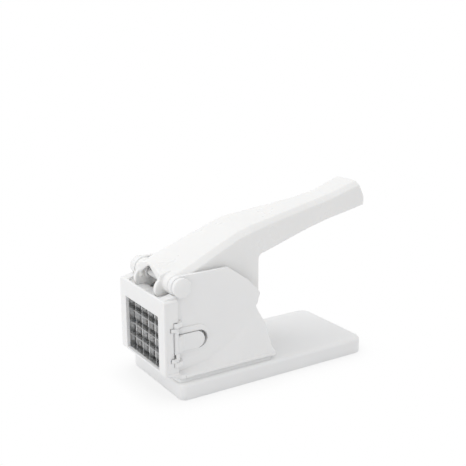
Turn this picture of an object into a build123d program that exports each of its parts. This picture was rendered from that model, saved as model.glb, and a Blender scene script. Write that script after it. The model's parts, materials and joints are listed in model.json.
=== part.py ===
"""Hand potato cutter: a lever presses a potato through a grid of blades, above a long base plate.

Millimetres. +Z is up, the cutting frame faces -Y and the handle points to +Y. X = 0 is the mid-plane and
Z = 0 the surface that the cutter stands on. The pieces are drawn with Y = 0 at the front face of the cutting
frame and are saved with Y = 0 halfway along the cutter.
"""
from build123d import *
import os

os.makedirs("parts", exist_ok=True)

# Clearances
running_gap = 0.05
slip_gap = 0.3
seat_gap = 0.1

# Base plate
base_width = 91.0
base_length = 192.4
base_height = 14.3
base_front = 12.1
base_front_corner = 6.0
base_rear_corner = 10.5
base_edge_round = 3.0
base_skin = 2.6
waffle_pitch = 20.4
waffle_rib = 2.4
foot_inset_x = 15.5
foot_inset_y = 16.5
foot_radius = 6.5
foot_height = 1.8
foot_sunk = 1.5

# Cutting frame
frame_side_reach = 5.5
frame_depth = 12.5
frame_foot = 22.0
frame_top = 86.0
frame_corner_round = 2.6
frame_edge_round = 1.0
opening_width = 60.3
opening_height = 46.5
opening_sill = 2.5
frame_lip_depth = 3.0
cheek_rise = 2.8
cheek_slope_front = 1.0
cheek_slope_rear = 12.3
lip_thickness = 2.2
shelf_drop = 1.8
shelf_corner = 4.0
fin_slot_radius = 17.3
panel_depth = 0.4
tongue_width = 40.0
tongue_length = 9.0
tongue_height = 3.0

# Cutting grid
columns = 5
rows = 4
blade_thickness = 0.6
blade_depth = 7.0
band_thickness = 1.2
band_depth = 8.6

# Housing walls
wall_thickness = 3.2
wall_front = 12.9
wall_top = 102.9
foot_spread_reach = 5.5
bead_radius = 1.75
ear_radius = 8.7
ear_boss = 2.1
foot_front_corner = 5.2
plinth_reach = 3.2
plinth_slope = 2.0
plinth_corner = 4.0
plinth_height = 3.0
floor_top = 25.0
floor_skin = 2.4
floor_length = 92.0
brace_inset = 4.3
brace_thickness = 2.6
brace_height = 11.0

# Pivot
pivot_y = 17.9
pivot_z = 94.1
axle_radius = 4.0
cap_radius = 8.2
cap_height = 6.5
cap_rim = 4.2
washer_thickness = 0.5
washer_radius = 7.0

# Lever
lever_skin = 2.5
side_gap = 0.8
body_bevel = 5.0
handle_bevel = 4.2
hub_outer_reach = 29.4
hub_radius = 8.7
boss_reach = 14.8
boss_radius = 5.6
fin_reach = 16.4
fin_thickness = 3.9
fin_radius = 9.8
fin_y = 13.0
fin_z = 89.2
arch_half_width = 15.2
arch_shoulder = 96.0
arch_apex = 105.2
arch_wall_front = 8.0
arch_wall_thickness = 2.6
skirt_rear = 100.0
bulkhead_front = 21.0
bulkhead_thickness = 3.0
handle_end = 225.0

# Pusher
pusher_half_width = 29.3
pusher_front = 14.0
pusher_thickness = 3.0
pusher_low = 26.0
pusher_high = 70.0
stud_length = 6.4
stud_gap = 1.3
pusher_screw_x = 20.0
pusher_screw_low = 36.0
pusher_screw_high = 60.0
pusher_rib_inset = 3.0
pusher_rib = 2.0

# Latches
latch_reach = 4.7
latch_y = 10.9
latch_barrel_radius = 2.0
latch_pin_radius = 1.1
latch_low = 33.6
latch_high = 62.4
latch_lug_height = 4.0
latch_plate_reach = 2.2
latch_plate_thickness = 1.8
latch_plate_low = 40.0
latch_plate_high = 54.4
latch_plate_end = 38.6
latch_nub_depth = 0.6
latch_finger_height = 3.0
window_end = 41.8
collar_low = 38.0
collar_high = 59.8
collar_end = 43.8
collar_rise = 1.1
spring_wire = 0.35
spring_radius = 1.4
spring_pitch = 0.6
spring_turns = 4

# Fasteners
screw_radius = 1.5
screw_head_radius = 3.0
screw_head_height = 1.8
screw_head_sunk = 2.8
housing_screw_depth = 4.0

# Places worked out from the sizes above
base_top = base_height
base_rear = base_front + base_length
base_middle = base_front + base_length / 2
plinth_top = base_top + plinth_height
wall_inner = hub_outer_reach + washer_thickness + slip_gap + ear_boss
wall_outer = wall_inner + wall_thickness
foot_spread = wall_outer + foot_spread_reach
plinth_half_width = wall_outer + plinth_reach
latch_x = wall_outer + latch_reach
latch_plate_outer = wall_outer + latch_plate_reach
frame_half = wall_outer + frame_side_reach
frame_width = 2 * frame_half
frame_height = frame_top - frame_foot
opening_low = frame_foot + opening_sill
opening_middle = opening_low + opening_height / 2
opening_half = opening_width / 2
column_pitch = opening_width / columns
row_pitch = opening_height / rows
blade_front = frame_lip_depth + 0.6
tongue_low = plinth_top + 0.9
band_front = frame_lip_depth
pivot_axis = Axis((0, pivot_y, pivot_z), (1, 0, 0))


def across(x):
    """A sketch plane at the given X, whose sketch axes are Y and Z of the part."""
    return Plane(origin=(x, 0, 0), x_dir=(0, 1, 0), z_dir=(1, 0, 0))


def save(part, name):
    """Writes one node, moved so that the origin lies on the ground under the middle of the cutter."""
    placed = part.moved(Location((0, -handle_end / 2, 0)))
    placed.label = name
    export_step(placed, f"parts/{name}.step")


standing = (Align.CENTER, Align.CENTER, Align.MIN)
hanging = (Align.CENTER, Align.CENTER, Align.MAX)

# Screw places, shared by the base, the floor and the walls
housing_screw_x = wall_inner + 2.2
housing_screw_front = 44.0
housing_screw_rear = 92.0
housing_screw_places = [
    (side * housing_screw_x, y) for side in (-1, 1) for y in (housing_screw_front, housing_screw_rear)
]
foot_places = {
    "front_left": (-(base_width / 2 - foot_inset_x), base_front + foot_inset_y),
    "front_right": (base_width / 2 - foot_inset_x, base_front + foot_inset_y),
    "rear_left": (-(base_width / 2 - foot_inset_x), base_rear - foot_inset_y),
    "rear_right": (base_width / 2 - foot_inset_x, base_rear - foot_inset_y),
}

# Base plate: a moulded slab with a waffle of pockets below, standing on four rubber feet
base_lift = foot_height - foot_sunk
waffle_columns = int((base_width - 2 * base_skin) / waffle_pitch)
waffle_rows = int((base_length - 2 * base_skin) / waffle_pitch)
with BuildPart() as base_plate:
    with BuildSketch(Plane.XY.offset(base_lift)) as base_outline:
        with Locations((0, base_middle)):
            Rectangle(base_width, base_length)
        fillet(base_outline.vertices().group_by(Axis.Y)[0], base_front_corner)
        fillet(base_outline.vertices().group_by(Axis.Y)[-1], base_rear_corner)
    extrude(amount=base_height - base_lift)
    fillet(base_plate.faces().sort_by(Axis.Z)[-1].edges(), base_edge_round)
    with BuildSketch(Plane.XY.offset(base_lift)):
        with Locations((0, base_middle)):
            with GridLocations(waffle_pitch, waffle_pitch, waffle_columns, waffle_rows):
                Rectangle(waffle_pitch - waffle_rib, waffle_pitch - waffle_rib)
            RectangleRounded(
                base_width - 2 * base_skin, base_length - 2 * base_skin, base_front_corner - base_skin,
                mode=Mode.INTERSECT,
            )
    extrude(amount=base_height - base_lift - base_skin, mode=Mode.SUBTRACT)
    with BuildSketch(Plane.XY.offset(base_lift)):
        with Locations(*housing_screw_places):
            Circle(screw_head_radius + 2.2)
        with Locations(*foot_places.values()):
            Circle(foot_radius + 2.0)
    extrude(amount=base_height - base_lift - base_skin)
    with Locations(*[Location((x, y, base_lift)) for x, y in foot_places.values()]):
        Cylinder(foot_radius + seat_gap, foot_sunk, align=standing, mode=Mode.SUBTRACT)
    with Locations(*[Location((x, y, base_lift)) for x, y in housing_screw_places]):
        Cylinder(screw_head_radius + slip_gap, screw_head_sunk, align=standing, mode=Mode.SUBTRACT)
        Cylinder(screw_radius + running_gap, base_height, align=standing, mode=Mode.SUBTRACT)
save(base_plate.part, "base_plate")

for name, (x, y) in foot_places.items():
    with BuildPart() as rubber_foot:
        with BuildSketch(Plane.XY):
            with Locations((x, y)):
                Circle(foot_radius)
        extrude(amount=foot_height)
        chamfer(rubber_foot.faces().sort_by(Axis.Z)[0].edges(), 0.2)
    save(rubber_foot.part, f"rubber_foot_{name}")

# Chamber floor: a tray between the walls, on a plinth that stands back from their feet
floor_middle = wall_front + floor_length / 2
floor_rear = wall_front + floor_length
tray_half_width = wall_inner - seat_gap
tongue_room_front = wall_front + floor_skin
tongue_room_rear = frame_depth + tongue_length + 2.5
floor_rib = 1.6
floor_pocket_columns = 3
floor_pocket_rows = 4
floor_pocket_pitch_x = 2 * (housing_screw_x - screw_radius - 4.0) / floor_pocket_columns
floor_pocket_pitch_y = (floor_rear - floor_skin - tongue_room_rear - floor_rib) / floor_pocket_rows
with BuildPart() as chamber_floor:
    with BuildSketch(Plane.XZ.offset(-wall_front)):
        with BuildLine():
            Polyline(
                (-plinth_half_width - plinth_slope, base_top), (plinth_half_width + plinth_slope, base_top),
                (plinth_half_width, plinth_top), (-plinth_half_width, plinth_top), close=True,
            )
        make_face()
    extrude(amount=-floor_length)
    with BuildSketch(Plane.XY.offset(base_top)):
        with Locations((0, floor_middle)):
            RectangleRounded(2 * (plinth_half_width + plinth_slope), floor_length, plinth_corner)
    extrude(amount=plinth_height, mode=Mode.INTERSECT)
    with BuildSketch(Plane.XY.offset(plinth_top)):
        with Locations((0, floor_middle)):
            Rectangle(2 * tray_half_width, floor_length)
    extrude(amount=floor_top - plinth_top)
    with BuildSketch(Plane.XY.offset(base_top)):
        with Locations((0, (tongue_room_front + tongue_room_rear) / 2)):
            Rectangle(tongue_width + 4 * slip_gap, tongue_room_rear - tongue_room_front)
        with Locations((0, (tongue_room_rear + floor_rib + floor_rear - floor_skin) / 2)):
            with GridLocations(floor_pocket_pitch_x, floor_pocket_pitch_y, floor_pocket_columns, floor_pocket_rows):
                Rectangle(floor_pocket_pitch_x - floor_rib, floor_pocket_pitch_y - floor_rib)
    extrude(amount=floor_top - base_top - floor_skin, mode=Mode.SUBTRACT)
    with BuildSketch(Plane.XZ.offset(-wall_front)):
        with Locations((0, tongue_low + tongue_height / 2)):
            Rectangle(tongue_width + 2 * slip_gap, tongue_height + 2 * slip_gap)
    extrude(amount=-floor_skin, mode=Mode.SUBTRACT)
    with Locations(*[Location((x, y, base_top)) for x, y in housing_screw_places]):
        Cylinder(screw_radius + running_gap, plinth_height, align=standing, mode=Mode.SUBTRACT)
save(chamber_floor.part, "chamber_floor")

# Rear brace: ties the two walls together behind the chamber
with BuildPart() as rear_brace:
    with BuildSketch(Plane.XY.offset(floor_top)):
        with Locations((0, floor_rear - brace_inset - brace_thickness / 2)):
            Rectangle(2 * tray_half_width, brace_thickness)
    extrude(amount=brace_height)
    fillet(rear_brace.faces().sort_by(Axis.Z)[-1].edges().filter_by(Axis.X), brace_thickness / 3)
save(rear_brace.part, "rear_brace")

# Housing walls: ear at the front, long top edge, stepped rear with a waist, and a foot that flares outward
flare_rear = 108.0
wall_corners = [
    ((wall_front, plinth_top), 0), ((wall_front, pivot_z), 0), ((pivot_y, pivot_z), 0), ((pivot_y, wall_top), 0),
    ((63.1, wall_top), 1.5), ((81.8, 89.6), 6.0), ((90.0, 81.1), 0), ((92.3, 78.9), 0), ((94.8, 74.9), 2.0),
    ((90.1, 64.1), 5.0), ((98.5, 48.3), 0), ((103.9, 27.2), 0), ((flare_rear, plinth_top + 1.6), 0),
    ((flare_rear, plinth_top), 0),
]
flare_corners = [
    (wall_front, plinth_top), (wall_front, 64.1), (90.1, 64.1), (98.5, 48.3), (103.9, 27.2),
    (flare_rear, plinth_top + 1.6), (flare_rear, plinth_top),
]
flare_crease = [(wall_front, 22.2), (40.7, 26.3), (60.3, 35.2), (81.3, 49.6), (110.0, 70.0)]
flare_foot_height = 3.7
bead_height = plinth_top + bead_radius + 0.2
bead_x = foot_spread - 0.8
bead_front = wall_front + 6.0
bead_length = 84.0
lug_radius = latch_barrel_radius + 0.3
lug_rear = 18.5
lug_gap = 0.2
window_front = 15.0
window_low = latch_plate_low - 0.4
window_high = latch_plate_high + 0.4


def d_shape(low, high, front, end, mode=Mode.ADD):
    """The D outline of the latch parts, straight in front and round at the end, drawn along Y and Z."""
    half = (high - low) / 2
    middle = low + half
    with Locations(((front + end - half) / 2, middle)):
        Rectangle(end - half - front, 2 * half, mode=mode)
    with Locations((end - half, middle)):
        Circle(half, mode=mode)


with BuildPart() as wall_flare:
    for y, crease in flare_crease:
        with BuildSketch(Plane.XZ.offset(-y)):
            with BuildLine():
                Polyline(
                    (wall_inner, plinth_top), (foot_spread, plinth_top),
                    (foot_spread, plinth_top + flare_foot_height),
                    (wall_outer, crease), (wall_inner, crease), close=True,
                )
            make_face()
    loft(ruled=True)
    with BuildSketch(across(wall_inner)):
        with BuildLine():
            Polyline(*flare_corners, close=True)
        make_face()
    extrude(amount=foot_spread - wall_inner, mode=Mode.INTERSECT)
    with BuildSketch(Plane.XY.offset(plinth_top)):
        with BuildLine():
            FilletPolyline(
                (wall_inner, wall_front), (foot_spread, wall_front), (foot_spread, flare_rear),
                (wall_inner, flare_rear),
                radius=[0, foot_front_corner, 0, 0], close=True,
            )
        make_face()
    extrude(amount=pivot_z, mode=Mode.INTERSECT)

with BuildPart() as side_wall:
    with BuildSketch(across(wall_inner)):
        with BuildLine():
            FilletPolyline(*[c[0] for c in wall_corners], radius=[c[1] for c in wall_corners], close=True)
        make_face()
        with Locations((pivot_y, pivot_z)):
            Circle(ear_radius)
    extrude(amount=wall_thickness)
    with BuildSketch(across(wall_inner - ear_boss)):
        with Locations((pivot_y, pivot_z)):
            Circle(ear_radius)
    extrude(amount=ear_boss)
    add(wall_flare.part)
    with BuildSketch(Plane.XZ.offset(-bead_front)):
        with Locations((bead_x, bead_height)):
            Circle(bead_radius)
    extrude(amount=-bead_length)
    with BuildSketch(across(wall_outer)):
        d_shape(collar_low, collar_high, window_front, collar_end)
        d_shape(window_low, window_high, window_front, window_end, mode=Mode.SUBTRACT)
    extrude(amount=collar_rise)
    with BuildSketch(across(wall_inner)):
        d_shape(window_low, window_high, window_front, window_end)
    extrude(amount=wall_thickness, mode=Mode.SUBTRACT)
    for low in (latch_low - lug_gap - latch_lug_height, latch_high + lug_gap):
        with BuildSketch(Plane.XY.offset(low)):
            with BuildLine():
                Polyline(
                    (wall_outer - 0.5, wall_front), (latch_x - lug_radius, latch_y), (latch_x + lug_radius, latch_y),
                    (latch_x + 0.6, lug_rear - 2.5), (wall_outer, lug_rear), (wall_outer - 0.5, lug_rear), close=True,
                )
            make_face()
            with Locations((latch_x, latch_y)):
                Circle(lug_radius)
        extrude(amount=latch_lug_height)
    with Locations(Location((latch_x, latch_y, latch_low - 2 * latch_lug_height))):
        Cylinder(
            latch_pin_radius + running_gap, latch_high - latch_low + 4 * latch_lug_height, align=standing,
            mode=Mode.SUBTRACT,
        )
    with BuildSketch(across(wall_inner - ear_boss)):
        with Locations((pivot_y, pivot_z)):
            Circle(axle_radius + running_gap)
    extrude(amount=ear_boss + wall_thickness, mode=Mode.SUBTRACT)
    with Locations(*[Location((x, y, plinth_top)) for x, y in housing_screw_places if x > 0]):
        Cylinder(screw_radius + running_gap, housing_screw_depth + seat_gap, align=standing, mode=Mode.SUBTRACT)
save(side_wall.part, "side_wall_right")
save(side_wall.part.mirror(Plane.YZ), "side_wall_left")

# Housing screws, driven up from under the base into the feet of the walls
with BuildPart() as housing_screws:
    with Locations(*[Location((x, y, base_lift + screw_head_sunk)) for x, y in housing_screw_places]):
        Cylinder(screw_head_radius, screw_head_height, align=hanging)
        Cylinder(screw_radius, plinth_top + housing_screw_depth - base_lift - screw_head_sunk, align=standing)
save(housing_screws.part, "housing_screws")

# Cutting frame: thick square frame with a saddle for the lever's hubs and a tongue under the chamber floor
cheek_inner = hub_outer_reach + washer_thickness
cheek_outer = frame_half - frame_corner_round
notch_front = latch_y - lug_radius - slip_gap
notch_inner = wall_outer - 0.8
notch_low = latch_low - lug_gap - latch_lug_height - slip_gap
notch_high = latch_high + lug_gap + latch_lug_height + slip_gap
nub_front = 6.0
nub_rear = 7.4
nub_inner = frame_half - panel_depth - latch_nub_depth
dimple_front = nub_front - 0.7
heel_depth = 2.5
panel_front = 2.4
panel_height = 59.5
with BuildPart() as cutting_frame:
    with BuildSketch(Plane.XZ) as frame_outline:
        with Locations((0, frame_foot + frame_height / 2)):
            Rectangle(frame_width, frame_height)
        fillet(frame_outline.vertices().group_by(Axis.Y)[-1], frame_corner_round)
    extrude(amount=-frame_depth)
    fillet(cutting_frame.faces().sort_by(Axis.Y)[0].edges(), frame_edge_round)
    for side in (-1, 1):
        with BuildSketch(across(min(side * cheek_inner, side * cheek_outer))):
            with BuildLine():
                Polyline(
                    (cheek_slope_front, frame_top - cheek_rise), (cheek_slope_front, frame_top),
                    (cheek_slope_rear, frame_top + cheek_rise), (frame_depth, frame_top + cheek_rise),
                    (frame_depth, frame_top - cheek_rise), close=True,
                )
            make_face()
        extrude(amount=cheek_outer - cheek_inner)
    with BuildSketch(Plane.YZ):
        with Locations((frame_depth + (tongue_length - heel_depth) / 2, tongue_low + tongue_height / 2)):
            Rectangle(tongue_length + heel_depth, tongue_height)
        with Locations((frame_depth - heel_depth / 2, (tongue_low + frame_foot + 0.5) / 2)):
            Rectangle(heel_depth, frame_foot + 0.5 - tongue_low)
    extrude(amount=tongue_width / 2, both=True)
    with BuildSketch(Plane.XZ):
        with Locations((0, opening_middle)):
            Rectangle(opening_width, opening_height)
    extrude(amount=-frame_depth, mode=Mode.SUBTRACT)
    with BuildSketch(Plane.XZ.offset(-band_front)):
        with Locations((0, opening_middle)):
            Rectangle(
                opening_width + 2 * (band_thickness + running_gap),
                opening_height + 2 * (band_thickness + running_gap),
            )
    extrude(amount=-frame_depth, mode=Mode.SUBTRACT)
    for radius, reach in (
        (hub_radius + slip_gap, hub_outer_reach + slip_gap), (ear_radius + slip_gap, wall_outer + slip_gap),
        (cap_radius + slip_gap, frame_half),
    ):
        with BuildSketch(Plane.YZ):
            with Locations((pivot_y, pivot_z)):
                Circle(radius)
        extrude(amount=reach, both=True, mode=Mode.SUBTRACT)
    with BuildSketch(Plane.XY.offset(frame_top - shelf_drop)) as shelf:
        with Locations((0, lip_thickness + frame_depth / 2)):
            Rectangle(2 * cheek_inner, frame_depth)
        fillet(shelf.vertices().group_by(Axis.Y)[0], shelf_corner)
    extrude(amount=shelf_drop + 2 * cheek_rise, mode=Mode.SUBTRACT)
    for side in (-1, 1):
        with BuildSketch(across(side * (fin_reach + fin_thickness / 2))):
            with Locations((pivot_y, pivot_z)):
                Circle(fin_slot_radius)
        extrude(amount=fin_thickness / 2 + 2 * slip_gap, both=True, mode=Mode.SUBTRACT)
    for side in (-1, 1):
        with BuildSketch(Plane.XY.offset(notch_low)):
            with Locations((side * (notch_inner + frame_half) / 2, (notch_front + frame_depth) / 2)):
                Rectangle(frame_half - notch_inner, frame_depth - notch_front)
        extrude(amount=notch_high - notch_low, mode=Mode.SUBTRACT)
        for low in (latch_low, latch_high - latch_finger_height):
            with Locations((side * frame_half, (dimple_front + notch_front) / 2, low + latch_finger_height / 2)):
                Box(
                    2 * (panel_depth + latch_nub_depth + slip_gap), notch_front - dimple_front,
                    latch_finger_height + 2 * slip_gap, mode=Mode.SUBTRACT,
                )
        with Locations((side * frame_half, (panel_front + frame_depth) / 2, frame_foot + frame_height / 2)):
            Box(2 * panel_depth, frame_depth - panel_front, panel_height, mode=Mode.SUBTRACT)
save(cutting_frame.part, "cutting_frame")

# Cutting grid: a steel band that holds upright and level blades, which cross in half-lap notches
blade_rear = blade_front + blade_depth
blade_middle = blade_front + blade_depth / 2
blade_edge = 0.9
blade_tab = 3.0
lap = blade_thickness + 2 * running_gap
upright_places = [(i + 1 - columns / 2) * column_pitch for i in range(columns - 1)]
level_places = [opening_low + (i + 1) * row_pitch for i in range(rows - 1)]
with BuildPart() as blade_band:
    with BuildSketch(Plane.XZ.offset(-band_front)):
        with Locations((0, opening_middle)):
            Rectangle(opening_width + 2 * band_thickness, opening_height + 2 * band_thickness)
            Rectangle(opening_width, opening_height, mode=Mode.SUBTRACT)
    extrude(amount=-band_depth)
    with Locations(*[(x, blade_middle, opening_middle) for x in upright_places]):
        Box(lap, blade_tab + 2 * running_gap, opening_height + 4 * band_thickness, mode=Mode.SUBTRACT)
    with Locations(*[(0, blade_middle, z) for z in level_places]):
        Box(opening_width + 4 * band_thickness, blade_tab + 2 * running_gap, lap, mode=Mode.SUBTRACT)
save(blade_band.part, "blade_band")

for number, x in enumerate(upright_places, 1):
    with BuildPart() as upright_blade:
        with BuildSketch(Plane.XY.offset(opening_low)):
            with BuildLine():
                Polyline(
                    (x - blade_thickness / 2, blade_front), (x + blade_thickness / 2, blade_front),
                    (x + blade_thickness / 2, blade_rear - blade_edge), (x + 0.05, blade_rear),
                    (x - 0.05, blade_rear), (x - blade_thickness / 2, blade_rear - blade_edge), close=True,
                )
            make_face()
        extrude(amount=opening_height)
        with Locations((x, blade_middle, opening_middle)):
            Box(blade_thickness, blade_tab, opening_height + 2 * band_thickness)
        with Locations(*[(x, blade_rear, z) for z in level_places]):
            Box(blade_thickness, blade_depth + 2 * running_gap, lap, mode=Mode.SUBTRACT)
    save(upright_blade.part, f"upright_blade_{number}")

for number, z in enumerate(level_places, 1):
    with BuildPart() as level_blade:
        with BuildSketch(across(-opening_half)):
            with BuildLine():
                Polyline(
                    (blade_front, z - blade_thickness / 2), (blade_front, z + blade_thickness / 2),
                    (blade_rear - blade_edge, z + blade_thickness / 2), (blade_rear, z + 0.05),
                    (blade_rear, z - 0.05), (blade_rear - blade_edge, z - blade_thickness / 2), close=True,
                )
            make_face()
        extrude(amount=opening_width)
        with Locations((0, blade_middle, z)):
            Box(opening_width + 2 * band_thickness, blade_tab, blade_thickness)
        with Locations(*[(x, blade_front, z) for x in upright_places]):
            Box(lap, blade_depth + 2 * running_gap, blade_thickness, mode=Mode.SUBTRACT)
    save(level_blade.part, f"level_blade_{number}")

# Pivot: an axle through both walls with a domed head on one end and a matching cap on the other
axle_end = wall_outer + 4.0
head_plane = Plane.XZ.offset(-pivot_y)
dome_radius = (cap_radius ** 2 + (cap_height - cap_rim) ** 2) / (2 * (cap_height - cap_rim))
dome_side = (cap_radius * 0.72, cap_height - dome_radius + (dome_radius ** 2 - (cap_radius * 0.72) ** 2) ** 0.5)
with BuildPart() as axle_head:
    with BuildSketch(head_plane):
        with BuildLine():
            Line((wall_outer, pivot_z), (wall_outer, pivot_z + cap_radius))
            Line((wall_outer, pivot_z + cap_radius), (wall_outer + cap_rim, pivot_z + cap_radius))
            ThreePointArc(
                (wall_outer + cap_rim, pivot_z + cap_radius),
                (wall_outer + dome_side[1], pivot_z + dome_side[0]),
                (wall_outer + cap_height, pivot_z),
            )
            Line((wall_outer + cap_height, pivot_z), (wall_outer, pivot_z))
        make_face()
    revolve(axis=pivot_axis)
with BuildPart() as pivot_axle:
    add(axle_head.part)
    with BuildSketch(across(-axle_end)):
        with Locations((pivot_y, pivot_z)):
            Circle(axle_radius)
    extrude(amount=axle_end + wall_outer + 0.5)
save(pivot_axle.part, "pivot_axle")
with BuildPart() as axle_cap:
    add(axle_head.part.mirror(Plane.YZ))
    with BuildSketch(across(-axle_end - seat_gap)):
        with Locations((pivot_y, pivot_z)):
            Circle(axle_radius + running_gap)
    extrude(amount=axle_end + seat_gap, mode=Mode.SUBTRACT)
save(axle_cap.part, "axle_cap")
with BuildPart() as pivot_washer:
    with BuildSketch(across(wall_inner - ear_boss - washer_thickness)):
        with Locations((pivot_y, pivot_z)):
            Circle(washer_radius)
            Circle(axle_radius + running_gap, mode=Mode.SUBTRACT)
    extrude(amount=washer_thickness)
save(pivot_washer.part, "pivot_washer_right")
save(pivot_washer.part.mirror(Plane.YZ), "pivot_washer_left")

# Latches: an upright pin, a rocking tab with two nubs that grip the frame, and a small return spring
spring_low = latch_low + latch_finger_height + 0.3
spring_height = spring_pitch * spring_turns
spring_room = spring_height + 2 * spring_wire
spring_bridge = 0.9
spring_bridge_lap = 1.0
plate_inner = latch_plate_outer - latch_plate_thickness
neck_front = 13.5
neck_rear = 17.5
with BuildPart() as latch_tab:
    with BuildSketch(Plane.XY.offset(latch_plate_low)):
        with BuildLine():
            Polyline(
                (latch_x - latch_barrel_radius, latch_y), (latch_x - 2.8, neck_front), (plate_inner, neck_rear),
                (plate_inner, latch_plate_end), (latch_plate_outer, latch_plate_end),
                (latch_plate_outer, neck_rear + 2.0), (latch_x + 1.0, neck_front),
                (latch_x + latch_barrel_radius, latch_y), close=True,
            )
        make_face()
    extrude(amount=latch_plate_high - latch_plate_low)
    with BuildSketch(across(plate_inner)):
        d_shape(latch_plate_low, latch_plate_high, latch_y, latch_plate_end)
    extrude(amount=foot_spread - plate_inner + latch_barrel_radius, mode=Mode.INTERSECT)
    with Locations(Location((latch_x, latch_y, latch_low))):
        Cylinder(latch_barrel_radius, latch_high - latch_low, align=standing)
    for low in (latch_low, latch_high - latch_finger_height):
        with BuildSketch(Plane.XY.offset(low)):
            with BuildLine():
                Polyline(
                    (latch_x + 2.0, latch_y), (latch_x + 2.0, 7.0), (latch_x + 1.6, nub_front - 0.1),
                    (nub_inner, nub_front), (nub_inner + 0.3, nub_rear), (frame_half, nub_rear + 0.3),
                    (frame_half, 8.8), (latch_x - 1.0, latch_y), close=True,
                )
            make_face()
        extrude(amount=latch_finger_height)
    with Locations(Location((latch_x, latch_y, spring_low))):
        Cylinder(latch_barrel_radius + 0.5, spring_room, align=standing, mode=Mode.SUBTRACT)
    with BuildSketch(Plane.XY.offset(spring_low - spring_bridge_lap)):
        with Locations((latch_x + spring_radius + spring_wire + spring_bridge / 2, latch_y)):
            Rectangle(spring_bridge, 3.0)
    extrude(amount=spring_room + 2 * spring_bridge_lap)
    with Locations(Location((latch_x, latch_y, latch_low))):
        Cylinder(latch_pin_radius + running_gap, latch_high - latch_low, align=standing, mode=Mode.SUBTRACT)
save(latch_tab.part, "latch_tab_right")
save(latch_tab.part.mirror(Plane.YZ), "latch_tab_left")

with BuildPart() as latch_pin:
    with Locations(Location((latch_x, latch_y, latch_low - lug_gap - latch_lug_height))):
        Cylinder(latch_pin_radius, latch_high - latch_low + 2 * (lug_gap + latch_lug_height), align=standing)
save(latch_pin.part, "latch_pin_right")
save(latch_pin.part.mirror(Plane.YZ), "latch_pin_left")

with BuildPart() as latch_spring:
    with BuildLine() as coil:
        Helix(spring_pitch, spring_height, spring_radius, center=(latch_x, latch_y, spring_low + spring_wire))
    with BuildSketch(Plane(origin=coil.line @ 0, z_dir=coil.line % 0)):
        Circle(spring_wire / 2)
    sweep()
save(latch_spring.part, "latch_spring_right")
save(latch_spring.part.mirror(Plane.YZ), "latch_spring_left")

# Lever: hub end between the walls, two skirts around the chamber and a channel-shaped handle behind them
lever_reach = wall_inner - side_gap
body_stations = [
    (arch_wall_front, 3.0, 98.5, 8.5), (25.0, 0.0, 104.8, 3.2), (57.0, 3.1, 118.1, 0.9), (81.0, 5.1, 127.7, 0.4),
    (92.0, 5.0, 130.9, 0.3),
]
handle_stations = [
    (113.0, 23.5, 134.0, 0.3), (137.0, 19.9, 137.5, 0.3), (161.0, 16.6, 141.2, 0.3), (185.0, 15.4, 145.6, 0.3),
    (209.0, 16.7, 153.4, 0.3), (handle_end + 2.0, 17.1, 158.6, 0.3),
]
lever_stations = [(y, lever_reach - taper, edge, crown, body_bevel) for y, taper, edge, crown in body_stations]
lever_stations += [(y, half_width, edge, crown, handle_bevel) for y, half_width, edge, crown in handle_stations]
lever_half_reach = lever_reach + 2.0
lever_top_limit = 175.0
lever_depth_limit = 10.0
lever_bottom = pusher_low + 1.0
tip_straight = 200.0
tip_half_width = 17.0
tip_corner = 4.0
skirt_front = 22.0
lever_side = [
    ((skirt_front, lever_bottom), 0), ((60.0, 40.0), 8.0), ((skirt_rear, 62.0), 6.0), ((skirt_rear, 105.5), 5.0),
    ((106.5, 106.3), 0), ((160.0, 118.7), 30.0), ((handle_end - 1.0, 132.7), 1.5), ((handle_end, 134.6), 0.8),
    ((handle_end, 136.6), 1.5), ((handle_end - 9.5, 155.7), 2.0), ((190.0, lever_top_limit), 0),
    ((arch_wall_front, lever_top_limit), 0), ((arch_wall_front, pivot_z - 3.0), 0), ((skirt_front, pivot_z - 3.0), 0),
]


def lever_block(inset):
    """The lever's outer form, or with an inset the form of its hollow, which is open below."""
    with BuildPart() as block:
        for y, half_width, edge_height, crown, bevel in lever_stations:
            side_half = half_width - inset
            flat_half = half_width - bevel - inset / 2
            top = edge_height - inset
            shoulder = top - bevel + inset / 2
            with BuildSketch(Plane.XZ.offset(-y)):
                with BuildLine():
                    Polyline(
                        (-flat_half, top), (-side_half, shoulder), (-side_half, lever_depth_limit),
                        (side_half, lever_depth_limit), (side_half, shoulder), (flat_half, top),
                    )
                    ThreePointArc((flat_half, top), (0, top + crown), (-flat_half, top))
                make_face()
        loft(ruled=True)
        tip_side = tip_half_width - inset
        tip_rear = handle_end - inset
        with BuildSketch(Plane.XY):
            with BuildLine():
                FilletPolyline(
                    (-lever_half_reach, 0), (lever_half_reach, 0), (lever_half_reach, tip_straight),
                    (tip_side, tip_straight), (tip_side, tip_rear), (-tip_side, tip_rear), (-tip_side, tip_straight),
                    (-lever_half_reach, tip_straight),
                    radius=[0, 0, 0, 0, tip_corner - inset, tip_corner - inset, 0, 0], close=True,
                )
            make_face()
        extrude(amount=lever_top_limit, mode=Mode.INTERSECT)
    return block.part


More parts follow.
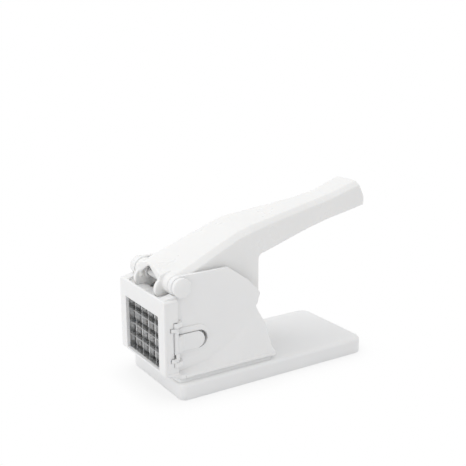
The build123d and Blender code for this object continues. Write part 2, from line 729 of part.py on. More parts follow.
lever_outer = lever_block(0)
lever_hollow = lever_block(lever_skin)
panel_limit = lever_block(lever_skin / 2)
hollow_end = 212.0
fin_end = fin_reach + fin_thickness
bulkhead_rear = bulkhead_front + bulkhead_thickness
fin_top_front = 99.0
fin_top_rear = 102.6
grip_ribs = 8
grip_rib_pitch = 13.6
grip_rib_thickness = 1.8
pusher_screw_places = [(side * pusher_screw_x, z) for side in (-1, 1) for z in (pusher_screw_low, pusher_screw_high)]
with BuildPart() as lever:
    with BuildSketch(across(-lever_half_reach)):
        with BuildLine():
            FilletPolyline(*[c[0] for c in lever_side], radius=[c[1] for c in lever_side], close=True)
        make_face()
    extrude(amount=2 * lever_half_reach)
    add(lever_outer, mode=Mode.INTERSECT)
    lever_form = lever.part
    with BuildSketch(Plane.XY):
        with Locations((0, (arch_wall_front + arch_wall_thickness + hollow_end) / 2)):
            Rectangle(2 * lever_half_reach, hollow_end - arch_wall_front - arch_wall_thickness)
    hollow_limit = extrude(amount=lever_top_limit, mode=Mode.PRIVATE)
    add(lever_hollow & hollow_limit, mode=Mode.SUBTRACT)
    with BuildSketch(Plane.XY):
        with Locations((0, bulkhead_front + bulkhead_thickness / 2)):
            Rectangle(2 * lever_half_reach, bulkhead_thickness)
        with Locations((0, skirt_rear - lever_skin / 2)):
            Rectangle(2 * lever_half_reach, lever_skin)
        with Locations((0, (skirt_rear + hollow_end) / 2)):
            Rectangle(grip_rib_thickness, hollow_end - skirt_rear)
        for i in range(grip_ribs):
            with Locations((0, skirt_rear + (i + 1) * grip_rib_pitch)):
                Rectangle(2 * lever_half_reach, grip_rib_thickness)
    panels = extrude(amount=lever_top_limit, mode=Mode.PRIVATE)
    add(panels & lever_form & panel_limit)
    for side in (-1, 1):
        with Locations((side * (fin_end + lever_half_reach) / 2, pivot_y / 2, pivot_z)):
            Box(lever_half_reach - fin_end, pivot_y, 8 * fin_radius, mode=Mode.SUBTRACT)
        with BuildSketch(across(side * (hub_outer_reach + lever_half_reach) / 2)):
            with Locations((pivot_y, pivot_z)):
                Circle(ear_radius + side_gap)
        extrude(amount=(lever_half_reach - hub_outer_reach) / 2, both=True, mode=Mode.SUBTRACT)
    with BuildSketch(head_plane):
        with BuildLine():
            Polyline(
                (boss_reach, pivot_z), (boss_reach, pivot_z + boss_radius), (fin_reach, pivot_z + boss_radius),
                (fin_reach, pivot_z + hub_radius), (hub_outer_reach, pivot_z + hub_radius),
                (hub_outer_reach, pivot_z), close=True,
            )
        make_face()
    hub = revolve(axis=pivot_axis, mode=Mode.PRIVATE)
    with BuildSketch(across(fin_reach)):
        with Locations((fin_y, fin_z)):
            Circle(fin_radius)
        with BuildLine():
            Polyline(
                (arch_wall_front, fin_z), (arch_wall_front, fin_top_front), (pivot_y, fin_top_rear),
                (bulkhead_rear, fin_top_rear), (bulkhead_rear, fin_z), close=True,
            )
        make_face()
    fin = extrude(amount=fin_thickness, mode=Mode.PRIVATE)
    with BuildSketch(Plane.XY.offset(fin_z - 2 * fin_radius)):
        with Locations((0, bulkhead_rear / 2)):
            Rectangle(2 * hub_outer_reach, bulkhead_rear)
    hub_limit = extrude(amount=4 * fin_radius, mode=Mode.PRIVATE)
    hub_end = (hub + fin) & hub_limit
    add(hub_end)
    add(hub_end.mirror(Plane.YZ))
    with BuildSketch(Plane.XZ.offset(-arch_wall_front)):
        with BuildLine():
            FilletPolyline(
                (-arch_half_width, pivot_z - 6.0), (-arch_half_width, arch_shoulder), (0, arch_apex),
                (arch_half_width, arch_shoulder), (arch_half_width, pivot_z - 6.0),
                radius=[0, 2.0, 4.0, 2.0, 0], close=True,
            )
        make_face()
    extrude(amount=-arch_wall_thickness, mode=Mode.SUBTRACT)
    with BuildSketch(across(-lever_half_reach)):
        with Locations((pivot_y, pivot_z)):
            Circle(axle_radius + running_gap)
    extrude(amount=2 * lever_half_reach, mode=Mode.SUBTRACT)
    with Locations(*[Location((x, bulkhead_front, z), (90, 0, 0)) for x, z in pusher_screw_places]):
        Cylinder(screw_radius + running_gap, 3 * bulkhead_thickness, mode=Mode.SUBTRACT)
save(lever.part, "lever")

# Pusher: a plate with a stud for every cell of the grid, screwed to the lever's bulkhead
stud_half_width = column_pitch / 2 - blade_thickness / 2 - stud_gap
stud_half_height = row_pitch / 2 - blade_thickness / 2 - stud_gap
pusher_rear = pusher_front + pusher_thickness
screw_boss_radius = 4.2
screw_depth = 5.0
with BuildPart() as pusher_plate:
    with BuildSketch(Plane.XZ.offset(-pusher_front)):
        with Locations((0, (pusher_low + pusher_high) / 2)):
            RectangleRounded(2 * pusher_half_width, pusher_high - pusher_low, 1.5)
    extrude(amount=-pusher_thickness)
    with BuildSketch(Plane.XZ.offset(-pusher_front)):
        with Locations((0, opening_middle)):
            with GridLocations(column_pitch, row_pitch, columns, rows):
                Rectangle(2 * stud_half_width, 2 * stud_half_height)
    extrude(amount=stud_length)
    chamfer(pusher_plate.faces().sort_by(Axis.Y).group_by(Axis.Y)[0].edges(), 0.6)
    with BuildSketch(Plane.XZ.offset(-pusher_rear)):
        with Locations(*pusher_screw_places):
            Circle(screw_boss_radius)
        with Locations((0, opening_middle)):
            Rectangle(2 * (pusher_half_width - pusher_rib_inset), pusher_rib)
            Rectangle(pusher_rib, pusher_high - pusher_low - 2 * pusher_rib_inset)
    extrude(amount=-(bulkhead_front - pusher_rear))
    with Locations(*[Location((x, bulkhead_front - screw_depth / 2, z), (90, 0, 0)) for x, z in pusher_screw_places]):
        Cylinder(screw_radius + running_gap, screw_depth + 2 * seat_gap, mode=Mode.SUBTRACT)
save(pusher_plate.part, "pusher_plate")

with BuildPart() as pusher_screws:
    with Locations(*[Location((x, bulkhead_rear, z), (90, 0, 0)) for x, z in pusher_screw_places]):
        Cylinder(screw_radius, screw_depth + bulkhead_thickness, align=standing)
        Cylinder(screw_head_radius, screw_head_height, align=hanging)
save(pusher_screws.part, "pusher_screws")
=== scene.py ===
"""Looks for a hand potato cutter: white moulded housing and lever, steel blade grid, rubber feet."""
import json
import math
import bmesh
import bpy
from mathutils import Matrix, Vector


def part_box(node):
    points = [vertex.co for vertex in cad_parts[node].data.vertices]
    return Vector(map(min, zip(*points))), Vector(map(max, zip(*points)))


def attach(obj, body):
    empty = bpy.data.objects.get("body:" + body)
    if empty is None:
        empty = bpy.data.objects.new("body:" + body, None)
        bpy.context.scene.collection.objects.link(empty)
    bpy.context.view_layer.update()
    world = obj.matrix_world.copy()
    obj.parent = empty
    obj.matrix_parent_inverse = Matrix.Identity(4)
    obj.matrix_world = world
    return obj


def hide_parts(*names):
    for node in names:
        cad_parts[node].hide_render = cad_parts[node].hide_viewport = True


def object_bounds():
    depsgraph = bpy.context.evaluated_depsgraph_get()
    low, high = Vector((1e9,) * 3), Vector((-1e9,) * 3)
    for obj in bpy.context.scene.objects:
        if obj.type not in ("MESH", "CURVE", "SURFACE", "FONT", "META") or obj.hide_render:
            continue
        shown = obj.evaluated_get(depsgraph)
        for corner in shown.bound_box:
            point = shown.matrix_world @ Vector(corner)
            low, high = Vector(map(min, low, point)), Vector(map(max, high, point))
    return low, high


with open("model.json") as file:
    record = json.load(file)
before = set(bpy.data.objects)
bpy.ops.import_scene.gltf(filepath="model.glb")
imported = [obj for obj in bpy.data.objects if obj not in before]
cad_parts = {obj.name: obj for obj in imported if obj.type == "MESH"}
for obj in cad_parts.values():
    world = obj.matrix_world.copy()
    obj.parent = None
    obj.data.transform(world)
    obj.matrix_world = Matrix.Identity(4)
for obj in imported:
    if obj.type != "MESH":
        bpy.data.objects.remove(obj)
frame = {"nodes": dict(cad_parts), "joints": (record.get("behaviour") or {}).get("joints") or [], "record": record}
cad_box = [list(corner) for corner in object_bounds()]

MM = 0.001
FRONT_FACE = cad_box[0][1]
BODIES = frame["record"]["behaviour"]["bodies"]
BODY_OF = {name: body for body, names in BODIES.items() for name in names}


def at(x, y, z):
    """A point given in millimetres, with Y measured from the cutting frame's front face."""
    return Vector((x * MM, FRONT_FACE + y * MM, z * MM))


def in_scene(name, data):
    """A new object for a mesh, lamp or camera, linked to the scene."""
    made = bpy.data.objects.new(name, data)
    bpy.context.scene.collection.objects.link(made)
    return made


# Small helpers for shader nodes

SOCKET_KINDS = {"value": "NodeSocketFloat", "colour": "NodeSocketColor", "vector": "NodeSocketVector"}


def group(name, inputs, outputs):
    """A shader node group with named number, colour or vector sockets, and its own inputs and outputs."""
    tree = bpy.data.node_groups.new(name, "ShaderNodeTree")
    for socket, kind, default in inputs:
        made = tree.interface.new_socket(socket, in_out="INPUT", socket_type=SOCKET_KINDS[kind])
        made.default_value = default
    for socket, kind in outputs:
        tree.interface.new_socket(socket, in_out="OUTPUT", socket_type=SOCKET_KINDS[kind])
    return tree, tree.nodes.new("NodeGroupInput").outputs, tree.nodes.new("NodeGroupOutput").inputs


def feed(tree, socket, source):
    """Links a socket to another node's output, or sets it where the source is a plain value."""
    if isinstance(source, bpy.types.NodeSocket):
        tree.links.new(source, socket)
    else:
        socket.default_value = source


def node(tree, kind, links=(), **values):
    """A new node with its properties set, and its input sockets set or linked."""
    made = tree.nodes.new(kind)
    for key, value in values.items():
        setattr(made, key, value)
    for socket, source in links:
        feed(tree, made.inputs[socket], source)
    return made


def put_out(tree, out, **sources):
    """Links a group's results to its named outputs."""
    for name, source in sources.items():
        tree.links.new(source, out[name])


def object_place(tree):
    """Each surface point's own place on the object, in metres."""
    return node(tree, "ShaderNodeTexCoord").outputs["Object"]


def maths(tree, operation, a, b):
    """The result of one operation on two numbers."""
    return node(tree, "ShaderNodeMath", ((0, a), (1, b)), operation=operation).outputs[0]


def plus_share(tree, base, part, share):
    """A value with a share of another added, or taken away where the share is negative."""
    return maths(tree, "ADD", base, maths(tree, "MULTIPLY", part, share))


def noise(tree, where, scale, detail=2.0, rough=0.5):
    """Soft noise, its scale in humps to a metre."""
    links = (("Vector", where), ("Scale", scale), ("Detail", detail), ("Roughness", rough))
    return node(tree, "ShaderNodeTexNoise", links).outputs["Fac"]


def remap(tree, value, before, after):
    """A value carried from one range to another, and held inside it."""
    links = ((0, value), (1, before[0]), (2, before[1]), (3, after[0]), (4, after[1]))
    return node(tree, "ShaderNodeMapRange", links).outputs[0]


def mix_colour(tree, factor, a, b):
    """The first colour, going over to the second as the factor goes to 1."""
    return node(tree, "ShaderNodeMix", ((0, factor), (6, a), (7, b)), data_type="RGBA").outputs[2]


# Node groups that the materials share

def moulded_skin():
    """Satin skin of a moulded piece: faint mottling of colour, fine grain, soft sink waves and rub marks."""
    tree, given, out = group(
        "moulded_skin",
        [("Colour", "colour", (0.8, 0.8, 0.8, 1)), ("Shade", "colour", (0.7, 0.7, 0.7, 1)),
         ("Roughness", "value", 0.3), ("Grain", "value", 0.5), ("Rub marks", "value", 0.5)],
        [("Colour", "colour"), ("Roughness", "value"), ("Height", "value")],
    )
    most_shade, wave_depth = 0.2, 0.5
    rub_shade, rub_dulling, rub_depth = 0.15, 0.08, 0.12
    where = object_place(tree)
    mottle = noise(tree, where, scale=38.0, detail=3.0)
    cloud = noise(tree, where, scale=9.0)
    grain = noise(tree, where, scale=2600.0, rough=0.6)
    wave = noise(tree, where, scale=55.0, detail=1.0)
    stretch = (("Vector", where), ("Rotation", (0.3, 0.2, 0.9)), ("Scale", (60, 1400, 900)))
    streaks = node(tree, "ShaderNodeMapping", stretch).outputs[0]
    scratch = remap(tree, noise(tree, streaks, scale=1.0), (0.64, 0.76), (0, 1))
    patch = remap(tree, noise(tree, where, scale=22.0), (0.42, 0.8), (0, 1))
    rub = maths(tree, "MULTIPLY", maths(tree, "MULTIPLY", scratch, patch), given["Rub marks"])
    shade = remap(tree, maths(tree, "ADD", mottle, cloud), (0.6, 1.4), (0, most_shade))
    tint = mix_colour(tree, shade, given["Colour"], given["Shade"])
    tint = mix_colour(tree, maths(tree, "MULTIPLY", rub, rub_shade), tint, given["Shade"])
    gloss = maths(tree, "ADD", given["Roughness"], remap(tree, mottle, (0.2, 0.8), (-0.02, 0.03)))
    gloss = plus_share(tree, gloss, rub, rub_dulling)
    height = maths(tree, "MULTIPLY", grain, given["Grain"])
    height = plus_share(tree, height, wave, wave_depth)
    height = plus_share(tree, height, rub, -rub_depth)
    put_out(tree, out, Colour=tint, Roughness=gloss, Height=height)
    return tree


def crevice_dust_and_shade():
    """Darkens inner corners a little with a dusty colour, found by ambient occlusion: partly dust and partly
    painted shade.
    """
    tree, given, out = group(
        "crevice_dust_and_shade",
        [("Colour", "colour", (0.8, 0.8, 0.8, 1)), ("Dust_and_shade", "colour", (0.5, 0.49, 0.46, 1)),
         ("Reach", "value", 4 * MM), ("Amount", "value", 0.3)],
        [("Colour", "colour"), ("Mask", "value")],
    )
    # Ambient occlusion marks the inner corners, where the dusty colour is mixed in as dust and as painted shade
    hidden = node(tree, "ShaderNodeAmbientOcclusion", (("Distance", given["Reach"]),), samples=8)
    depth = remap(tree, hidden.outputs["AO"], (0.95, 0.35), (0, 1))
    specks = noise(tree, object_place(tree), scale=420.0, detail=4.0, rough=0.6)
    broken = remap(tree, specks, (0.3, 0.7), (0.55, 1))
    mask = maths(tree, "MULTIPLY", maths(tree, "MULTIPLY", depth, broken), given["Amount"])
    tint = mix_colour(tree, mask, given["Colour"], given["Dust_and_shade"])
    put_out(tree, out, Colour=tint, Mask=mask)
    return tree


def ground_steel():
    """Steel strip: fine grinding lines along one axis, dull stains and small nicks."""
    tree, given, out = group(
        "ground_steel",
        [("Line scale", "vector", (3000, 20, 20)), ("Roughness", "value", 0.3), ("Stain", "value", 0.4)],
        [("Colour", "colour"), ("Roughness", "value"), ("Height", "value")],
    )
    bright, dull, stained = (0.62, 0.625, 0.63, 1), (0.5, 0.505, 0.51, 1), (0.42, 0.40, 0.37, 1)
    stain_dulling, nick_depth = 0.25, 0.8
    where = object_place(tree)
    stretch = ((0, where), (1, given["Line scale"]))
    stretched = node(tree, "ShaderNodeVectorMath", stretch, operation="MULTIPLY").outputs[0]
    lines = noise(tree, stretched, scale=1.0, detail=3.0, rough=0.6)
    stain = remap(tree, noise(tree, where, scale=160.0, detail=4.0, rough=0.6), (0.5, 0.72), (0, 1))
    stain = maths(tree, "MULTIPLY", stain, given["Stain"])
    nick = remap(tree, noise(tree, where, scale=900.0), (0.7, 0.78), (0, 1))
    tint = mix_colour(tree, remap(tree, lines, (0.3, 0.7), (0, 1)), bright, dull)
    tint = mix_colour(tree, stain, tint, stained)
    gloss = plus_share(tree, given["Roughness"], stain, stain_dulling)
    gloss = maths(tree, "ADD", gloss, remap(tree, lines, (0.3, 0.7), (-0.05, 0.07)))
    put_out(tree, out, Colour=tint, Roughness=gloss, Height=plus_share(tree, lines, nick, -nick_depth))
    return tree


SKIN, DUST_AND_SHADE, STEEL = moulded_skin(), crevice_dust_and_shade(), ground_steel()

# Materials

PLASTIC_BODY = {
    "IOR": 1.49, "Subsurface Weight": 0.15, "Subsurface Radius": (1.0, 0.9, 0.8), "Subsurface Scale": 3 * MM,
}
METAL_BODY = {"Metallic": 1.0}
PAPER_BODY = {"Base Color": (0.86, 0.86, 0.865, 1), "Roughness": 0.9}
DUST_DULLING = 0.3
SKIN_RELIEF, STEEL_RELIEF = 0.02 * MM, 0.01 * MM
SKIN_STRENGTH, STEEL_STRENGTH = 0.6, 0.5


def use(tree, shared, **values):
    """Places a shared node group in a material, its inputs set or linked by name."""
    made = tree.nodes.new("ShaderNodeGroup")
    made.node_tree = shared
    for key, value in values.items():
        feed(tree, made.inputs[key.replace("_", " ")], value)
    return made.outputs


def material(name, plain):
    """A new material, its node tree, and its shader with plain values on the named sockets."""
    made = bpy.data.materials.new(name)
    made.use_nodes = True
    shader = made.node_tree.nodes["Principled BSDF"]
    for socket, value in plain.items():
        shader.inputs[socket].default_value = value
    return made, made.node_tree, shader


def bump(tree, shader, height, distance, strength, soft_edge=0.0):
    """Gives a shader fine relief, and edges that look rounded over a small radius."""
    links = [("Height", height), ("Distance", distance), ("Strength", strength)]
    if soft_edge:
        rounded = node(tree, "ShaderNodeBevel", (("Radius", soft_edge),), samples=6)
        links.append(("Normal", rounded.outputs[0]))
    tree.links.new(node(tree, "ShaderNodeBump", links).outputs[0], shader.inputs["Normal"])


def plastic(name, colour, shade, roughness, grain, rub, dust_and_shade, soft_edge):
    """A moulded plastic or rubber, with dust and painted shade in its corners, and softened edges."""
    made, tree, shader = material(name, PLASTIC_BODY)
    look = dict(Colour=(*colour, 1), Shade=(*shade, 1), Roughness=roughness, Grain=grain, Rub_marks=rub)
    skin = use(tree, SKIN, **look)
    # Inner corners get dust and painted shade, found by ambient occlusion
    dusty_and_shaded = use(tree, DUST_AND_SHADE, Colour=skin["Colour"], Amount=dust_and_shade)
    tree.links.new(dusty_and_shaded["Colour"], shader.inputs["Base Color"])
    gloss = plus_share(tree, skin["Roughness"], dusty_and_shaded["Mask"], DUST_DULLING)
    tree.links.new(gloss, shader.inputs["Roughness"])
    bump(tree, shader, skin["Height"], SKIN_RELIEF, SKIN_STRENGTH, soft_edge)
    return made


def steel(name, line_scale, roughness, stain):
    """Ground or drawn steel, its lines closest together along the axis with the largest line scale."""
    made, tree, shader = material(name, METAL_BODY)
    strip = use(tree, STEEL, Line_scale=line_scale, Roughness=roughness, Stain=stain)
    tree.links.new(strip["Colour"], shader.inputs["Base Color"])
    tree.links.new(strip["Roughness"], shader.inputs["Roughness"])
    bump(tree, shader, strip["Height"], STEEL_RELIEF, STEEL_STRENGTH)
    return made


WHITE, COOL_WHITE, WARM_WHITE = (0.89, 0.89, 0.89), (0.885, 0.887, 0.89), (0.89, 0.888, 0.882)
TRIM_WHITE, WASHER_GREY, RUBBER_BLACK = (0.875, 0.875, 0.875), (0.62, 0.62, 0.61), (0.03, 0.03, 0.031)
WHITE_SHADE, WARM_SHADE = (0.8, 0.8, 0.8), (0.82, 0.815, 0.8)
GREY_SHADE, BLACK_SHADE = (0.5, 0.5, 0.49), (0.06, 0.058, 0.055)

housing_white = plastic("housing_white", WHITE, WHITE_SHADE, roughness=0.30, grain=0.5, rub=0.25, dust_and_shade=0.1,
                        soft_edge=0.4 * MM)
base_white = plastic("base_white", COOL_WHITE, WHITE_SHADE, roughness=0.34, grain=0.7, rub=0.4, dust_and_shade=0.1,
                     soft_edge=0.4 * MM)
lever_white = plastic("lever_white", WARM_WHITE, WARM_SHADE, roughness=0.28, grain=0.35, rub=0.2, dust_and_shade=0.05,
                      soft_edge=0.5 * MM)
trim_white = plastic("trim_white", TRIM_WHITE, WHITE_SHADE, roughness=0.22, grain=0.2, rub=0.3, dust_and_shade=0.15,
                     soft_edge=0.3 * MM)
washer_grey = plastic("washer_grey", WASHER_GREY, GREY_SHADE, roughness=0.5, grain=0.8, rub=0.2, dust_and_shade=0.3,
                      soft_edge=0.1 * MM)
foot_black = plastic("foot_rubber", RUBBER_BLACK, BLACK_SHADE, roughness=0.75, grain=1.6, rub=1.0, dust_and_shade=0.5,
                     soft_edge=0.2 * MM)
upright_steel = steel("upright_blade_steel", (20, 60, 3200), roughness=0.26, stain=0.3)
level_steel = steel("level_blade_steel", (3200, 60, 20), roughness=0.26, stain=0.3)
band_steel = steel("blade_band_steel", (60, 2600, 60), roughness=0.32, stain=0.5)
turned_steel = steel("turned_steel", (40, 40, 5200), roughness=0.3, stain=0.4)

# Each finish with the names, or the starts of names, of its nodes
FINISHES = (
    (base_white, ("base_plate",)),
    (housing_white, ("chamber_floor", "rear_brace", "side_wall", "cutting_frame")),
    (lever_white, ("lever", "pusher_plate")),
    (trim_white, ("pivot_axle", "axle_cap", "latch_tab")),
    (washer_grey, ("pivot_washer",)),
    (foot_black, ("rubber_foot",)),
    (upright_steel, ("upright_blade",)),
    (level_steel, ("level_blade",)),
    (band_steel, ("blade_band",)),
    (turned_steel, ("housing_screws", "pusher_screws", "latch_pin", "latch_spring")),
)
for name, part in frame["nodes"].items():
    chosen = next(finish for finish, starts in FINISHES if name.startswith(starts))
    part.data.materials.clear()
    part.data.materials.append(chosen)

# Pieces with rounded moulded edges, made from the frame's shapes

JOIN_WITHIN, SLIVER_LENGTH = 2e-6, 4e-6
FLAT_ANGLE, SHARP_ANGLE = math.radians(0.6), math.radians(24.0)
EDGE_SEGMENTS = 3


def smooth_shaded(mesh):
    """Shades a mesh's faces as one flowing surface."""
    for face in mesh.polygons:
        face.use_smooth = True


def stand_for(piece, name):
    """Lets a piece stand for a CAD node: it takes over the node's material and rides on its body."""
    piece.data.materials.clear()
    piece.data.materials.append(frame["nodes"][name].data.materials[0])
    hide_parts(name)
    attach(piece, BODY_OF[name])


def rounded_copy(name, new_name, width, above=-math.inf):
    """A copy of a CAD node with its flat faces above a height merged and its sharp edges rounded."""
    work = bmesh.new()
    work.from_mesh(frame["nodes"][name].data)
    bmesh.ops.remove_doubles(work, verts=work.verts, dist=JOIN_WITHIN)
    bmesh.ops.dissolve_degenerate(work, edges=work.edges, dist=SLIVER_LENGTH)
    verts = [vert for vert in work.verts if vert.co.z > above]
    edges = [edge for edge in work.edges if all(vert.co.z > above for vert in edge.verts)]
    bmesh.ops.dissolve_limit(work, angle_limit=FLAT_ANGLE, verts=verts, edges=edges)
    piece = in_scene(new_name, bpy.data.meshes.new(new_name))
    work.to_mesh(piece.data)
    work.free()
    smooth_shaded(piece.data)
    rounded = piece.modifiers.new("rounded_edges", "BEVEL")
    rounded.width = width
    rounded.segments = EDGE_SEGMENTS
    rounded.limit_method = "ANGLE"
    rounded.angle_limit = SHARP_ANGLE
    rounded.use_clamp_overlap = True
    rounded.harden_normals = True
    rounded.miter_outer = "MITER_ARC"
    stand_for(piece, name)


def softened_copy(name, new_name, grain, passes, share):
    """A copy of a CAD node on an even mesh, smoothed so that its moulded faces flow into each other."""
    source = frame["nodes"][name]
    piece = in_scene(new_name, source.data.copy())
    even = piece.modifiers.new("even_mesh", "REMESH")
    even.mode = "VOXEL"
    even.voxel_size = grain
    even.use_smooth_shade = True
    lay = piece.modifiers.new("on_the_faces", "SHRINKWRAP")
    lay.target = source
    soften = piece.modifiers.new("softened_faces", "SMOOTH")
    soften.factor = 0.5
    soften.iterations = passes
    fewer = piece.modifiers.new("fewer_faces", "DECIMATE")
    fewer.ratio = share
    bpy.context.view_layer.update()
    finished = piece.evaluated_get(bpy.context.evaluated_depsgraph_get())
    shape = bpy.data.meshes.new_from_object(finished)
    shape.name = new_name
    piece.modifiers.clear()
    piece.data = shape
    stand_for(piece, name)


# Axle and its two domed buttons, turned about the lever's pivot

PIVOT = Vector(next(joint for joint in frame["joints"] if joint["name"] == "lever_pivot")["pos_m"])
cap_low, cap_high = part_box("axle_cap")
EAR_FACE = -cap_high[0]
BUTTON_HEIGHT = cap_high[0] - cap_low[0]
BUTTON_RADIUS = (cap_high[2] - cap_low[2]) / 2
BUTTON_RIM = 4.2 * MM
AXLE_END = -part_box("pivot_axle")[0][0]
AXLE_RADIUS = 4.0 * MM
SOCKET_END_GAP, SOCKET_SIDE_GAP = 0.1 * MM, 0.05 * MM
TURNED_EDGE = 0.5 * MM
LONGEST_ROUNDING = 0.45
CURVE_STEPS, DOME_STEPS, TURN_STEPS = 4, 12, 96


def softened_outline(profile):
    """A profile with a small curve at each inner corner, no longer than a share of the sides beside it."""
    corners = [Vector(corner) for corner in profile]
    outline = [corners[0]]
    for before, corner, after in zip(corners, corners[1:], corners[2:]):
        shorter = min((corner - before).length, (after - corner).length)
        reach = min(TURNED_EDGE, LONGEST_ROUNDING * shorter)
        start = corner + (before - corner).normalized() * reach
        end = corner + (after - corner).normalized() * reach
        for step in range(CURVE_STEPS + 1):
            t = step / CURVE_STEPS
            outline.append((1 - t) ** 2 * start + 2 * t * (1 - t) * corner + t ** 2 * end)
    return outline + [corners[-1]]


def turned_piece(name, new_name, profile, side):
    """A piece turned about the pivot, from corners given as distance from the mid-plane and radius."""
    work = bmesh.new()
    points = [work.verts.new(PIVOT + Vector((side * x, r, 0))) for x, r in softened_outline(profile)]
    edges = [work.edges.new(pair) for pair in zip(points, points[1:])]
    turn = dict(cent=PIVOT, axis=(1, 0, 0), steps=TURN_STEPS, angle=2 * math.pi)
    bmesh.ops.spin(work, geom=points + edges, use_merge=True, **turn)
    bmesh.ops.remove_doubles(work, verts=work.verts, dist=JOIN_WITHIN / 2)
    bmesh.ops.recalc_face_normals(work, faces=work.faces)
    piece = in_scene(new_name, bpy.data.meshes.new(new_name))
    work.to_mesh(piece.data)
    work.free()
    smooth_shaded(piece.data)
    stand_for(piece, name)


def button_outline():
    """The domed button's corners, from its rim against the ear to the middle of its dome."""
    rise = BUTTON_HEIGHT - BUTTON_RIM
    ball = (BUTTON_RADIUS ** 2 + rise ** 2) / (2 * rise)
    half_angle = math.asin(BUTTON_RADIUS / ball)
    dome = []
    for step in range(DOME_STEPS + 1):
        angle = half_angle * (1 - step / DOME_STEPS)
        dome.append((EAR_FACE + BUTTON_HEIGHT - ball + ball * math.cos(angle), ball * math.sin(angle)))
    return [(EAR_FACE, BUTTON_RADIUS)] + dome


rod = [(-AXLE_END, 0), (-AXLE_END, AXLE_RADIUS), (EAR_FACE, AXLE_RADIUS)]
socket_end, socket_radius = AXLE_END + SOCKET_END_GAP, AXLE_RADIUS + SOCKET_SIDE_GAP
socket = [(socket_end, 0), (socket_end, socket_radius), (EAR_FACE, socket_radius)]
turned_piece("pivot_axle", "pivot_rod", rod + button_outline(), side=1)
turned_piece("axle_cap", "far_button", socket + button_outline(), side=-1)

# The base keeps the ribs below its slab as they are, so only what is above them is merged
rounded_copy("base_plate", "base_slab", width=0.5 * MM, above=10 * MM)
rounded_copy("cutting_frame", "blade_frame", width=0.45 * MM)
rounded_copy("side_wall_right", "right_wall", width=0.35 * MM)
rounded_copy("side_wall_left", "left_wall", width=0.35 * MM)
softened_copy("lever", "press_lever", grain=0.75 * MM, passes=3, share=0.45)
rounded_copy("latch_tab_right", "right_tab", width=0.25 * MM)
rounded_copy("latch_tab_left", "left_tab", width=0.25 * MM)
rounded_copy("pusher_plate", "stud_plate", width=0.3 * MM)

# Studio: pale paper floor, plain white surroundings, and two soft lamps, above and in front

PURE_WHITE = (1, 1, 1, 1)
PAPER_REACH = 3.0
# How far the painted shadow on the floor reaches, and how dark it gets at its darkest
SHADOW_REACH = 35 * MM
SHADOW_LEVEL = 0.9
SURROUNDINGS_STRENGTH = 0.82


def white_to_camera(tree, kind, strength, surface, output):
    """Shows white to the camera and in reflections, and the given surface to every other ray."""
    path = node(tree, "ShaderNodeLightPath").outputs
    mirrored = maths(tree, "MAXIMUM", path["Is Glossy Ray"], path["Is Transmission Ray"])
    seen = maths(tree, "MAXIMUM", path["Is Camera Ray"], mirrored)
    white = node(tree, kind, (("Color", PURE_WHITE), ("Strength", strength)))
    both = node(tree, "ShaderNodeMixShader", ((0, seen), (1, surface), (2, white.outputs[0])))
    tree.links.new(both.outputs[0], output)


def studio_floor():
    """A wide sheet of pale paper, white to the camera, with the cutter's soft shadow painted into that white by
    ambient occlusion.
    """
    mesh = bpy.data.meshes.new("studio_floor")
    corners = [(x * PAPER_REACH, y * PAPER_REACH, 0) for x, y in ((-1, -1), (1, -1), (1, 1), (-1, 1))]
    mesh.from_pydata(corners, [], [(0, 1, 2, 3)])
    floor = in_scene("studio_floor", mesh)
    made, tree, shader = material("floor_paper", PAPER_BODY)
    # Painted shadow: the white that the camera sees is dimmed where ambient occlusion finds the cutter close by
    open_sky = node(tree, "ShaderNodeAmbientOcclusion", (("Distance", SHADOW_REACH),), samples=16)
    painted_shadow_level = remap(tree, open_sky.outputs["AO"], (0.45, 0.95), (SHADOW_LEVEL, 1))
    surface = tree.nodes["Material Output"].inputs["Surface"]
    white_to_camera(tree, "ShaderNodeEmission", painted_shadow_level, shader.outputs[0], surface)
    mesh.materials.append(made)


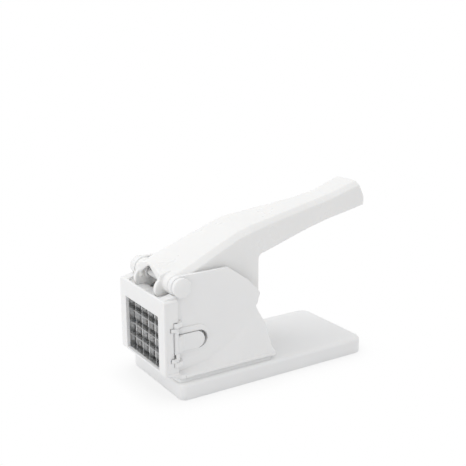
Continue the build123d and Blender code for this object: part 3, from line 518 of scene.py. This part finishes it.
def studio_world():
    """Plain white surroundings that light the cutter evenly from all round."""
    world = bpy.data.worlds.new("studio")
    bpy.context.scene.world = world
    world.use_nodes = True
    tree = world.node_tree
    soft = tree.nodes["Background"]
    soft.inputs["Color"].default_value = PURE_WHITE
    soft.inputs["Strength"].default_value = SURROUNDINGS_STRENGTH
    surface = tree.nodes["World Output"].inputs["Surface"]
    white_to_camera(tree, "ShaderNodeBackground", 1.0, soft.outputs[0], surface)


def soft_light(name, where, target, size, power, colour=(1, 1, 1)):
    """A rectangular lamp at a place in metres, turned towards a target."""
    data = bpy.data.lights.new(name, "AREA")
    data.shape = "RECTANGLE"
    data.size, data.size_y = size
    data.energy = power
    data.color = colour
    lamp = in_scene(name, data)
    lamp.location = where
    lamp.rotation_euler = (Vector(target) - Vector(where)).to_track_quat("-Z", "Y").to_euler()


studio_floor()
studio_world()
soft_light("top_light", where=(-0.25, -0.35, 1.1), target=(0, 0, 0.05), size=(0.9, 0.9), power=2.5)
soft_light("front_light", where=(-0.2, -1.3, 0.4), target=(0, -0.1, 0.06), size=(0.8, 0.6), power=1.5,
           colour=(1.0, 0.995, 0.985))

# Camera at the photograph's viewing angle, worked out from the cutter's edges and corners in it

IMAGE_PIXELS = 466
FOCAL_PIXELS = 806.84
CAMERA_PLACE = at(572.40, -270.84, 300.03)
PICTURE_RIGHT = Vector((0.53407, 0.84543, -0.00354))
PICTURE_UP = Vector((-0.21517, 0.13998, 0.96649))
TOWARDS_VIEWER = Vector((0.81760, -0.51541, 0.25667))


def photo_camera():
    """The camera that shows the cutter as the photograph does."""
    data = bpy.data.cameras.new("photo_camera")
    data.sensor_width = 36.0
    data.sensor_fit = "HORIZONTAL"
    data.lens = FOCAL_PIXELS / IMAGE_PIXELS * data.sensor_width
    data.clip_start = 0.02
    data.clip_end = 20.0
    camera = in_scene("photo_camera", data)
    turned = Matrix((PICTURE_RIGHT, PICTURE_UP, TOWARDS_VIEWER)).transposed().to_4x4()
    camera.matrix_world = Matrix.Translation(CAMERA_PLACE) @ turned
    bpy.context.scene.camera = camera


photo_camera()
bpy.context.scene.view_settings.view_transform = "Standard"

bpy.context.view_layer.update()
